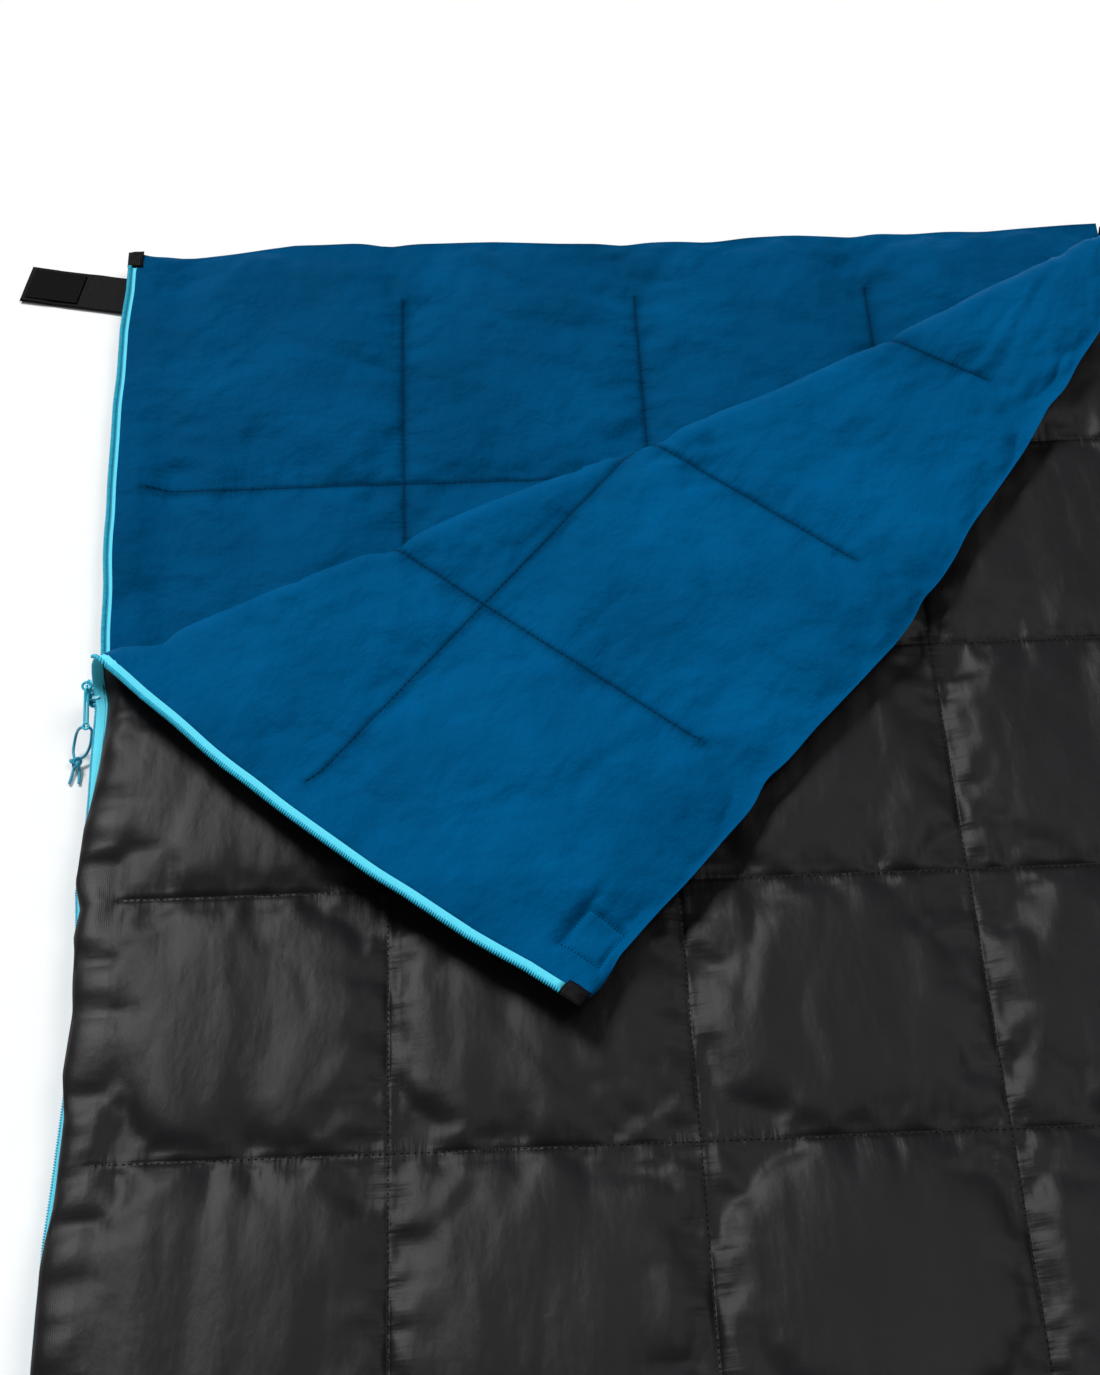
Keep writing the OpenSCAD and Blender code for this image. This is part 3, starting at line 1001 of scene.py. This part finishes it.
MATERIALS = {
    "shell": shell_cloth(),
    # Painted light and shade: the top panel's lining, which shows on the flap, and the side's lining
    # use a lighter copy, and the bottom panel's lining a darker copy, of the one cloth
    "lining": lining_cloth("lining", 1.10),
    "lining_painted_shade": lining_cloth("lining_painted_shade", 0.88),
    "zip_tape": zip_tape_cloth(),
    "zip_coil": coil_plastic(),
    "slider_enamel": enamel(),
    "stop_metal": stop_metal(),
    "shell_thread": thread("shell_thread", (0.002, 0.002, 0.0025), (0.006, 0.0055, 0.006)),
    "lining_thread": thread("lining_thread", (0.0, 0.010, 0.028), (0.0, 0.024, 0.060)),
    "cord": cord_braid(),
    "webbing": webbing(),
    "hook_tape": pile("hook_tape", 900.0, 0.0004),
    "loop_pile": pile("loop_pile", 700.0, 0.0006),
}


def dress(piece, slot, painted_lighting=None):
    """Gives a piece the finish of one of the record's material slots, or of a lighter or darker copy of
    it that carries painted light or shade.
    """
    piece.data.materials.clear()
    piece.data.materials.append(MATERIALS[painted_lighting or slot])
    return piece


def at_height(z):
    return (0, 0, z * MM)


# Heights at the crease between the top panel and the flap, for the outer and the inner layers; settle
# takes them in place of a body and reads nothing from them
SHELL_BLEND = (at_height(SHELL_Z), at_height(2 * CREASE[2] - SHELL_Z))
LINING_BLEND = (at_height(LINING_Z + 11), at_height(2 * CREASE[2] - LINING_Z - 11))


def settle(piece, slot, moves_with, *nodes, painted_lighting=None):
    """Finishes a piece: its look, the nodes it stands for, and the body it moves with. A piece given
    heights at the crease in place of a body only has its place baked into its points.
    """
    dress(piece, slot, painted_lighting)
    if nodes:
        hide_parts(*nodes)
    if isinstance(moves_with, str):
        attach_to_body(piece, moves_with)
    else:
        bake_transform(piece)


# -------- quilts


CLOTH_STEP = spacing(4.2)
UNSEEN_STEP = spacing(9.0)


def panel_grid(columns, rows, across, along):
    """Grid lines over a panel, close together beside its seams, with a step for each way."""
    us = grid_lines(LEFT, SIDE, columns, across, (True, False))
    return us, grid_lines(FOOT, HEAD, rows, along)


def build_top_panel(sheet, lining_sheet):
    size, low_u, low_v = PATCH
    columns = (*TOP_COLUMNS, low_u, low_u + size)
    rows = (*ROWS, low_v, low_v + size)
    grid = panel_grid(TOP_COLUMNS, ROWS, CLOTH_STEP, spacing(4.2, -60, 9.0))
    shell = quilt_face("top_shell_cloth", top_shell_z, sheet, *grid, True, True, shell_outline)
    shell_nodes = ("top_shell", "flap_shell", "top_filling", "flap_filling")
    settle(shell, "shell", SHELL_BLEND, *shell_nodes)
    grid = panel_grid(columns, rows, CLOTH_STEP, spacing(3.4, 470, 8.0))
    faced = (*grid, True, False, hem_outline(1.5))
    lining = quilt_face("top_lining_cloth", top_lining_z, lining_sheet, *faced)
    settle(lining, "lining", LINING_BLEND, "top_lining", "flap_lining")
    outer = stitches("top_shell_stitches", top_shell_z, sheet, TOP_COLUMNS, True, 1)
    settle(outer, "shell_thread", SHELL_BLEND, "top_quilting")
    inner = stitches("top_lining_stitches", top_lining_z, lining_sheet, TOP_COLUMNS, True, -1)
    settle(inner, "lining_thread", LINING_BLEND, "flap_quilting")


def build_bottom_panel(sheet):
    grid = panel_grid(BOTTOM_COLUMNS, ROWS, CLOTH_STEP, spacing(3.8, 430, 8.0))
    faced = (*grid, False, True, hem_outline(3.8))
    lining = quilt_face("bottom_lining_cloth", bottom_lining_z, sheet, *faced)
    nodes = ("bottom_lining", "bottom_filling")
    # the bottom panel's lining takes the darker copy of the cloth: painted shade
    settle(lining, "lining", "bottom_panel", *nodes, painted_lighting="lining_painted_shade")
    grid = panel_grid(BOTTOM_COLUMNS, ROWS, UNSEEN_STEP, UNSEEN_STEP)
    shell = quilt_face("bottom_shell_cloth", bottom_shell_z, sheet, *grid, False, False)
    settle(shell, "shell", "bottom_panel", "bottom_shell")
    name = "bottom_lining_stitches"
    seams = stitches(name, bottom_lining_z, sheet, BOTTOM_COLUMNS, False, 1)
    settle(seams, "lining_thread", "bottom_panel", "bottom_quilting")


def build_side():
    outer = side_strips("side_shell_cloth", RIGHT - SIDE, SHELL_Z / 2, SHELL_Z / 2, False)
    dress(outer, "shell")
    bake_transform(outer)
    half = (LINING_Z - BOTTOM_TOP) / 2
    inner = side_strips("side_lining_cloth", 14, half, BOTTOM_TOP + half, True)
    dress(inner, "lining")
    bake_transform(inner)


# -------- zip pieces


def build_bottom_zip():
    low, high = heights("bottom_zip_tape")
    tape = ribbon("bottom_tape", TAB_L, ZIP_LENGTH, low, high, False)
    settle(tape, "zip_tape", "bottom_panel", "bottom_zip_tape")
    low, high = heights("bottom_zip_coil")
    teeth = coil("bottom_coil", TAB_L, ZIP_LENGTH, low, high, False)
    settle(teeth, "zip_coil", "bottom_panel", "bottom_zip_coil")
    tab = end_tab("bottom_end_tab", BOTTOM_TOP, BOTTOM_TOP + TAB_T, False)
    settle(tab, "webbing", "bottom_panel", "bottom_zip_end_tab")


def build_top_zip():
    low, high = heights("bottom_zip_tape")
    tape = ribbon("top_tape", TAB_L, ZIP_LENGTH, LINING_Z - (high - low), LINING_Z, True)
    settle(tape, "zip_tape", LINING_BLEND, "top_zip_tape", "flap_zip_tape")
    low, high = heights("top_zip_coil")
    in_slider = (HEAD - SLIDER_Y[1] - 1, HEAD - SLIDER_Y[0] + 1)
    teeth = coil("top_coil", TAB_L, ZIP_LENGTH, low, high, True, in_slider)
    settle(teeth, "zip_coil", LINING_BLEND, "top_zip_coil", "flap_zip_coil")
    tab = end_tab("flap_end_tab", LINING_Z - TAB_T, LINING_Z, True)
    settle(tab, "webbing", "flap", "flap_zip_end_tab")


# -------- tubes, for cords and wires


def smooth_route(points, per_span):
    """A Catmull-Rom line through the points."""
    p = np.array(points, float)
    p = np.vstack([2 * p[0] - p[1], p, 2 * p[-1] - p[-2]])
    made = []
    for i in range(1, len(p) - 2):
        for t in np.linspace(0, 1, per_span, endpoint=False):
            a, b, c, d = p[i - 1 : i + 3]
            square = (2 * a - 5 * b + 4 * c - d) * t**2
            cube = (3 * b - a - 3 * c + d) * t**3
            made.append(0.5 * (2 * b + (c - a) * t + square + cube))
    made.append(p[-2])
    return np.array(made)


def tube(name, route, diameter, closed=False):
    """A round tube along a route, as a curve with a bevel."""
    curve = bpy.data.curves.new(name, "CURVE")
    curve.dimensions = "3D"
    curve.bevel_depth = diameter / 2 * MM
    curve.bevel_resolution = 3
    curve.use_fill_caps = True
    spline = curve.splines.new("POLY")
    spline.points.add(len(route) - 1)
    for point, place in zip(spline.points, route):
        point.co = (*(place * MM), 1)
    spline.use_cyclic_u = closed
    spline.use_smooth = True
    return new_object(name, curve)


# -------- slider, pull and cord


PULL = pivot("pull_swing")
EYE = pivot("cord_swing")
CORD_D = 2.2
KNOT = np.array([-440, 450, 4])


def outline_plate(outline, low, high, bevel):
    """Points and faces of a plate of an outline with rounded edges."""
    levels = ((low, bevel), (low + bevel, 0), (high - bevel, 0), (high, bevel))
    centre = np.mean(outline, axis=0)
    points = []
    for z, inset in levels:
        for place in outline:
            toward = centre - place
            toward = toward / np.linalg.norm(toward)
            points.append((*(place + toward * inset), z))
    return points, stack_faces(len(levels), len(outline))


def joined(name, parts):
    """One mesh of several parts, each given as its points and faces."""
    points, faces = [], []
    for some, more in parts:
        faces += [tuple(len(points) + i for i in face) for face in more]
        points += some
    return mesh_object(name, points, faces, points, smooth_shading=False)


def plate_outline(x_low, x_high, y_low, y_high, nose):
    """A slider's plate: straight at the closed end and narrowed to two shoulders at the open end."""
    cx, cy = (x_low + x_high) / 2, (y_low + y_high) / 2
    w, l = (x_high - x_low) / 2, (y_high - y_low) / 2
    made = []
    corners = 36
    for k in range(corners):
        a = 2 * math.pi * k / corners
        px = math.copysign(abs(math.cos(a)) ** 0.45, math.cos(a))
        py = math.copysign(abs(math.sin(a)) ** 0.45, math.sin(a))
        made.append((cx + w * px * (1 + nose * py) / (1 + abs(nose)), cy + l * py))
    return np.array(made)


def build_slider():
    low, high = node_box("slider_body")
    plate = 1.6
    width = (low[0], high[0])
    outline = plate_outline(*width, low[1], high[1], 0.12)
    wall = plate_outline(low[0], low[0] + 2.4, low[1] + 1.5, high[1] - 1.5, 0)
    nose = plate_outline(low[0] + 3.4, low[0] + 6.4, high[1] - 5.5, high[1] - 1, 0)
    pieces = [
        outline_plate(outline, high[2] - plate, high[2], 0.5),
        outline_plate(outline, low[2], low[2] + plate, 0.5),
        outline_plate(wall, low[2] + 1, high[2] - 1, 0.3),
        outline_plate(nose, low[2] + 1, high[2] - 1, 0.3),
    ]
    for x in (low[0] + 0.2, high[0] - 1.6):
        rail = plate_outline(x, x + 1.4, low[1] + 1.6, high[1] - 3, 0)
        pieces.append(outline_plate(rail, high[2] - plate - 1.4, high[2] - 0.6, 0.25))
    body = joined("slider_casting", pieces)
    settle(body, "slider_enamel", "slider", "slider_body")
    build_bridge(high[2])


def build_bridge(top):
    """The arch over the slider that holds the pull."""
    x, y, z = PULL
    places = (
        (x + 0.4, y - 6.6, top - 0.6), (x + 0.4, y - 6.2, top + 2.2), (x + 0.2, y - 3.2, z + 0.9),
        (x, y, z + 0.5),
        (x + 0.2, y + 3.4, z + 0.2), (x + 0.4, y + 6.4, top + 2.0), (x + 0.4, y + 6.8, top - 0.6),
    )
    arch = tube("slider_bridge", smooth_route(places, 8), 1.9)
    settle(arch, "slider_enamel", "slider", "slider_bail")


def build_pull():
    """A slotted bar with a round eye at each end, hung from the slider's bridge."""
    length = np.linalg.norm(EYE - PULL)
    down = (EYE - PULL) / length
    across = np.array([1.0, 0, 0])

    def at(a, b):
        return PULL + across * a + down * b

    def ring(radius, centre):
        wide, long = radius
        turns = np.linspace(0, 2 * math.pi, 25)[:-1]
        return np.array([at(wide * math.sin(t), centre - long * math.cos(t)) for t in turns])

    half = 1.15
    side = ((half, 2.2), (half, length / 2), (half, length - 3.4), (0.8, length - 2.4))
    bars = [at(-a, b) for a, b in side] + [at(a, b) for a, b in reversed(side)]
    tubes = (
        ("pull_ring", ring((3.3, 3.0), 0), 2.1),
        ("pull_bars", smooth_route(bars, 6), 2.0),
        ("pull_eye", ring((2.2, 2.2), length), 1.7),
    )
    for name, route, diameter in tubes:
        piece = tube(name, route, diameter, closed=True)
        nodes = ("pull_tab",) if name == "pull_bars" else ()
        settle(piece, "slider_enamel", "pull", *nodes)


def overhand_knot():
    """An overhand knot drawn up tight."""
    t = np.linspace(0, 2 * math.pi, 97)[:-1]
    spread, rise = 1.35, 1.7
    x = (np.sin(t) + 2 * np.sin(2 * t)) * spread
    y = (np.cos(t) - 2 * np.cos(2 * t)) * spread
    z = -np.sin(3 * t) * rise
    return KNOT + np.stack([x, y, z], -1) + np.array([0, 0, 0.6])


def build_cord():
    # The cord runs from the lower eye down each side of its loop, and through the knot to its tail
    left_side = [
        (EYE[0] - 1.0, EYE[1], EYE[2]), (-435.5, 468, 22), (-439, 469, 14), (-441, 465, 9),
        (-442, 459, 6), (-441, 453, 5), (-440.5, 450, 4), (-441, 447, 3), (-442, 443, 2),
        (-443, 438, 1.5), (-444, 434, 1.3),
    ]
    right_side = [
        (EYE[0] + 1.0, EYE[1], EYE[2]), (-426.8, 466.6, 23), (-427, 466, 18), (-429, 460, 11),
        (-433, 455, 6), (-438, 452, 5), (-439.5, 450, 4), (-438, 448, 3), (-437, 443, 2),
        (-437, 438, 1.5), (-437, 434, 1.3),
    ]
    knot = tube("cord_overhand_knot", overhand_knot(), CORD_D - 0.1, closed=True)
    settle(knot, "cord", "cord", "cord_knot")
    for name, points in (("cord_left_strand", left_side), ("cord_right_strand", right_side)):
        route = smooth_route(points, 6)
        strand = tube(name, route, CORD_D)
        settle(strand, "cord", "cord", "pull_cord", "cord_tails")


# -------- strap


def build_strap():
    hinge = pivot("strap_fold")
    low, high = node_box("strap")
    slant = math.radians(12)
    width, length, root = 40, 92, 14.0
    outward = (-math.cos(slant), math.sin(slant))
    sideways = (math.sin(slant), math.cos(slant))
    sewn, free = np.linspace(-root, 6, 15), np.linspace(8, length - 2, 36)
    s = np.concatenate([sewn, free, [length - 0.6, length]])
    w = np.concatenate([[-1, -0.97], np.linspace(-0.9, 0.9, 17), [0.97, 1]]) * width / 2
    ss, ww = np.meshgrid(s, w)
    mid = (low[2] + high[2]) / 2
    edge = np.minimum(width / 2 - np.abs(ww), length - ss)
    half = rounded(edge, 0.9)
    hem_l = 23
    stitched = smooth(np.abs(ss - length + hem_l) - 1)
    hem = 0.35 * smooth((ss - (length - hem_l - 1)) / 2) * (1 - 0.4 * stitched)
    wave = 0.9 * noise(ss / 34, ww / 60, 61) + 0.5 * noise(ss / 15, ww / 22, 62)
    wave = (wave - 0.2) * smooth((ss + 4) / 30) + 1.2
    x = hinge[0] + outward[0] * ss + sideways[0] * ww
    y = hinge[1] + outward[1] * ss + sideways[1] * ww
    face = mid + np.maximum(wave, 0) * 0.8 - 0.6
    upper, lower = as_points(x, y, face + half + hem), as_points(x, y, face - half)
    strap = slab("closure_strap", upper, lower, ss, ww, flip=True)
    dress(strap, "webbing")
    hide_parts("strap", "strap_root")
    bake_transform(strap)


# -------- patch


def build_patch_thread():
    """The square of stitching on the flap's lining."""
    size, low_u, low_v = PATCH
    pitch, run = 2.6, 1.9
    thread = Thread(-0.2, 0.8)
    for k in np.arange(0, size, pitch):
        for across in (0, size):
            thread.stitch((low_u + k, low_v + across), (run, 0), (0, 1))
        for across in (0, size):
            thread.stitch((low_u + across, low_v + k), (0, run), (1, 0))
    square = thread.made("patch_thread", lambda u, v: top_lining_z(LINING, u, v), True, -1)
    settle(square, "lining_thread", "flap", "patch_stitching")


def build_patch():
    """The loop patch that the square of stitching holds on the shell."""
    size, low_u, low_v = PATCH
    half, lines = size / 2, 25
    across = np.linspace(low_u, low_u + size, lines)
    u, v = np.meshgrid(across, np.linspace(low_v, low_v + size, lines))
    edge = half - np.maximum(np.abs(u - low_u - half), np.abs(v - low_v - half))
    rise = rounded(edge, 1.2)
    pile_z = rise * (1 + 0.25 * noise(u / 1.3, v / 1.3, 71))
    z = np.maximum(top_shell_z(SHELL, u, v), SHELL_Z - 1.2) - 0.2 + pile_z
    points = as_points(*laid(u, v, z, True))
    patch = mesh_object("loop_square", points, grid_faces(lines, lines), as_points(u, v, 0))
    settle(patch, "loop_pile", "flap", "loop_patch")


# -------- camera, light and floor


CAMERA_PLACE = (-0.129, -0.406, 1.366)
CAMERA_YAW, CAMERA_FALL = math.radians(2.42), math.radians(56.3)


def build_camera():
    data = bpy.data.cameras.new("camera")
    data.lens = 57.3
    data.sensor_fit = "AUTO"
    data.sensor_width = 36
    data.clip_end = 50
    camera = new_object("camera", data)
    camera.location = CAMERA_PLACE
    camera.rotation_euler = (math.pi / 2 - CAMERA_FALL, 0, -CAMERA_YAW)
    bpy.context.scene.camera = camera


def soft_light(name, toward, strength, spread):
    """A broad studio light, far off in the direction toward, and spread degrees across."""
    data = bpy.data.lights.new(name, "SUN")
    data.energy = strength
    data.angle = math.radians(spread)
    lamp = new_object(name, data)
    lamp.rotation_euler = Vector(toward).to_track_quat("Z", "Y").to_euler()


DOME = 0.22


def build_light():
    """A dim white dome, seen as plain white, and two broad lights from the head of the bag."""
    world = bpy.data.worlds.new("studio")
    bpy.context.scene.world = world
    world.use_nodes = True
    background = world.node_tree.nodes["Background"]
    background.inputs["Color"].default_value = (1, 1, 1, 1)
    seen = world.node_tree.nodes.new("ShaderNodeLightPath").outputs["Is Camera Ray"]
    strength = world.node_tree.nodes.new("ShaderNodeMath")
    strength.operation = "MAXIMUM"
    strength.inputs[1].default_value = DOME
    world.node_tree.links.new(seen, strength.inputs[0])
    world.node_tree.links.new(strength.outputs[0], background.inputs["Strength"])
    soft_light("key", (-0.95, 1.45, 1.85), 3.0, 18)
    soft_light("side", (1.0, 0.35, 1.9), 0.72, 22)
    bpy.context.scene.view_settings.view_transform = "Standard"


def build_floor():
    reach, z = 14000, -0.4
    corners = [(x * reach, y * reach, z) for x, y in ((-1, -1), (1, -1), (1, 1), (-1, 1))]
    floor = mesh_object("floor", corners, [(0, 1, 2, 3)])
    n = Nodes("floor")
    paper = n.noise(n.solid(), 40.0, 2.0)
    colour = n.shades(paper, (0.90, 0.90, 0.90), (0.92, 0.92, 0.92))
    floor.data.materials.append(n.finish(Base_Color=colour, Roughness=0.9))


# -------- the whole bag


build_camera()
build_cord()
SHELL = Sheet(TOP_COLUMNS, 101, 0.05, 4.0, straight_grain(88), (30, 95), 1.5, 1.3)
LINING = Sheet(TOP_COLUMNS, 131, 0.035, 4.0, fan_grain, (32, 115), 2.8, 1.7)
UNDER = Sheet(BOTTOM_COLUMNS, 161, 0.035, 4.0, straight_grain(-18), (34, 110), 2.4, 1.7)
build_top_panel(SHELL, LINING)
build_bottom_panel(UNDER)
build_side()
build_bottom_zip()
build_top_zip()
build_slider()
build_pull()
build_strap()
build_patch_thread()
build_patch()
dress(frame["nodes"]["zip_foot_stop"], "stop_metal")
dress(frame["nodes"]["hook_pad"], "hook_tape")
build_light()
build_floor()
